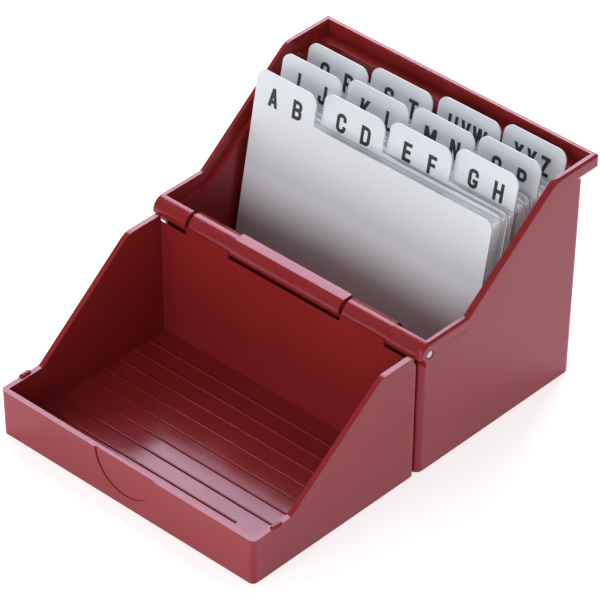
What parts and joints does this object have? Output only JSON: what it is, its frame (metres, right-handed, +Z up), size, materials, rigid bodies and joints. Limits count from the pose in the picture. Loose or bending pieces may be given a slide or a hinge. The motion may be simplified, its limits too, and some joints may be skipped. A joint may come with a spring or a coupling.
{
  "type": "index card box",
  "caption": "Desktop index-card box with a full-width hinged lid that folds back flat as a tray, a stepped sloping rim, and tabbed dividers with cards that lift out.",
  "frame": {"origin": "the middle of the footprint, on the surface that the open box stands on", "axes": "+X along the hinge, to the right seen from the front; +Y from the open lid's tray towards the back of the base; +Z up"},
  "size_m": [0.1194, 0.1597, 0.0871],
  "materials": {
    "base_plastic": "glossy moulded polystyrene, burgundy red, slightly see-through at its edges",
    "lid_plastic": "glossy moulded polystyrene, burgundy red, slightly see-through at its edges",
    "pin_steel": "bright drawn wire, cut ends",
    "divider_card": "matt light grey sheet with charcoal index letters",
    "card_paper": "plain white card"
  },
  "bodies": {
    "base": {"base_box": "base_plastic", "hinge_pin": "pin_steel"},
    "lid": {"lid": "lid_plastic"},
    "divider_ab": {"divider_ab": "divider_card"},
    "cards_ab": {"cards_ab": "card_paper"},
    "divider_cd": {"divider_cd": "divider_card"},
    "cards_cd": {"cards_cd": "card_paper"},
    "divider_ef": {"divider_ef": "divider_card"},
    "cards_ef": {"cards_ef": "card_paper"},
    "divider_gh": {"divider_gh": "divider_card"},
    "cards_gh": {"cards_gh": "card_paper"},
    "divider_ij": {"divider_ij": "divider_card"},
    "cards_ij": {"cards_ij": "card_paper"},
    "divider_kl": {"divider_kl": "divider_card"},
    "cards_kl": {"cards_kl": "card_paper"},
    "divider_mn": {"divider_mn": "divider_card"},
    "cards_mn": {"cards_mn": "card_paper"},
    "divider_op": {"divider_op": "divider_card"},
    "cards_op": {"cards_op": "card_paper"},
    "divider_qr": {"divider_qr": "divider_card"},
    "cards_qr": {"cards_qr": "card_paper"},
    "divider_st": {"divider_st": "divider_card"},
    "cards_st": {"cards_st": "card_paper"},
    "divider_uvw": {"divider_uvw": "divider_card"},
    "cards_uvw": {"cards_uvw": "card_paper"},
    "divider_xyz": {"divider_xyz": "divider_card"},
    "cards_xyz": {"cards_xyz": "card_paper"}
  },
  "joints": [
    {"name": "lid_hinge", "type": "hinge", "parent": "base", "child": "lid", "pos_m": [0, -0.00125, 0.0492], "axis": [1, 0, 0], "range_deg": [-180, 0]},
    {"name": "divider_ab_lift", "type": "slide", "parent": "base", "child": "divider_ab", "axis": [0, 0.1874, 0.9823], "range_m": [0, 0.095]},
    {"name": "cards_ab_lift", "type": "slide", "parent": "base", "child": "cards_ab", "axis": [0, 0.1898, 0.9818], "range_m": [0, 0.095]},
    {"name": "divider_cd_lift", "type": "slide", "parent": "base", "child": "divider_cd", "axis": [0, 0.1922, 0.9814], "range_m": [0, 0.095]},
    {"name": "cards_cd_lift", "type": "slide", "parent": "base", "child": "cards_cd", "axis": [0, 0.1936, 0.9811], "range_m": [0, 0.095]},
    {"name": "divider_ef_lift", "type": "slide", "parent": "base", "child": "divider_ef", "axis": [0, 0.195, 0.9808], "range_m": [0, 0.095]},
    {"name": "cards_ef_lift", "type": "slide", "parent": "base", "child": "cards_ef", "axis": [0, 0.197, 0.9804], "range_m": [0, 0.095]},
    {"name": "divider_gh_lift", "type": "slide", "parent": "base", "child": "divider_gh", "axis": [0, 0.1989, 0.98], "range_m": [0, 0.095]},
    {"name": "cards_gh_lift", "type": "slide", "parent": "base", "child": "cards_gh", "axis": [0, 0.1998, 0.9798], "range_m": [0, 0.095]},
    {"name": "divider_ij_lift", "type": "slide", "parent": "base", "child": "divider_ij", "axis": [0, 0.2007, 0.9797], "range_m": [0, 0.095]},
    {"name": "cards_ij_lift", "type": "slide", "parent": "base", "child": "cards_ij", "axis": [0, 0.2026, 0.9793], "range_m": [0, 0.095]},
    {"name": "divider_kl_lift", "type": "slide", "parent": "base", "child": "divider_kl", "axis": [0, 0.2045, 0.9789], "range_m": [0, 0.095]},
    {"name": "cards_kl_lift", "type": "slide", "parent": "base", "child": "cards_kl", "axis": [0, 0.2059, 0.9786], "range_m": [0, 0.095]},
    {"name": "divider_mn_lift", "type": "slide", "parent": "base", "child": "divider_mn", "axis": [0, 0.2073, 0.9783], "range_m": [0, 0.095]},
    {"name": "cards_mn_lift", "type": "slide", "parent": "base", "child": "cards_mn", "axis": [0, 0.2087, 0.978], "range_m": [0, 0.095]},
    {"name": "divider_op_lift", "type": "slide", "parent": "base", "child": "divider_op", "axis": [0, 0.2101, 0.9777], "range_m": [0, 0.095]},
    {"name": "cards_op_lift", "type": "slide", "parent": "base", "child": "cards_op", "axis": [0, 0.211, 0.9775], "range_m": [0, 0.095]},
    {"name": "divider_qr_lift", "type": "slide", "parent": "base", "child": "divider_qr", "axis": [0, 0.2119, 0.9773], "range_m": [0, 0.095]},
    {"name": "cards_qr_lift", "type": "slide", "parent": "base", "child": "cards_qr", "axis": [0, 0.2139, 0.9769], "range_m": [0, 0.095]},
    {"name": "divider_st_lift", "type": "slide", "parent": "base", "child": "divider_st", "axis": [0, 0.2158, 0.9764], "range_m": [0, 0.095]},
    {"name": "cards_st_lift", "type": "slide", "parent": "base", "child": "cards_st", "axis": [0, 0.2172, 0.9761], "range_m": [0, 0.095]},
    {"name": "divider_uvw_lift", "type": "slide", "parent": "base", "child": "divider_uvw", "axis": [0, 0.2186, 0.9758], "range_m": [0, 0.095]},
    {"name": "cards_uvw_lift", "type": "slide", "parent": "base", "child": "cards_uvw", "axis": [0, 0.22, 0.9755], "range_m": [0, 0.095]},
    {"name": "divider_xyz_lift", "type": "slide", "parent": "base", "child": "divider_xyz", "axis": [0, 0.2214, 0.9752], "range_m": [0, 0.095]},
    {"name": "cards_xyz_lift", "type": "slide", "parent": "base", "child": "cards_xyz", "axis": [0, 0.2223, 0.975], "range_m": [0, 0.095]}
  ]
}
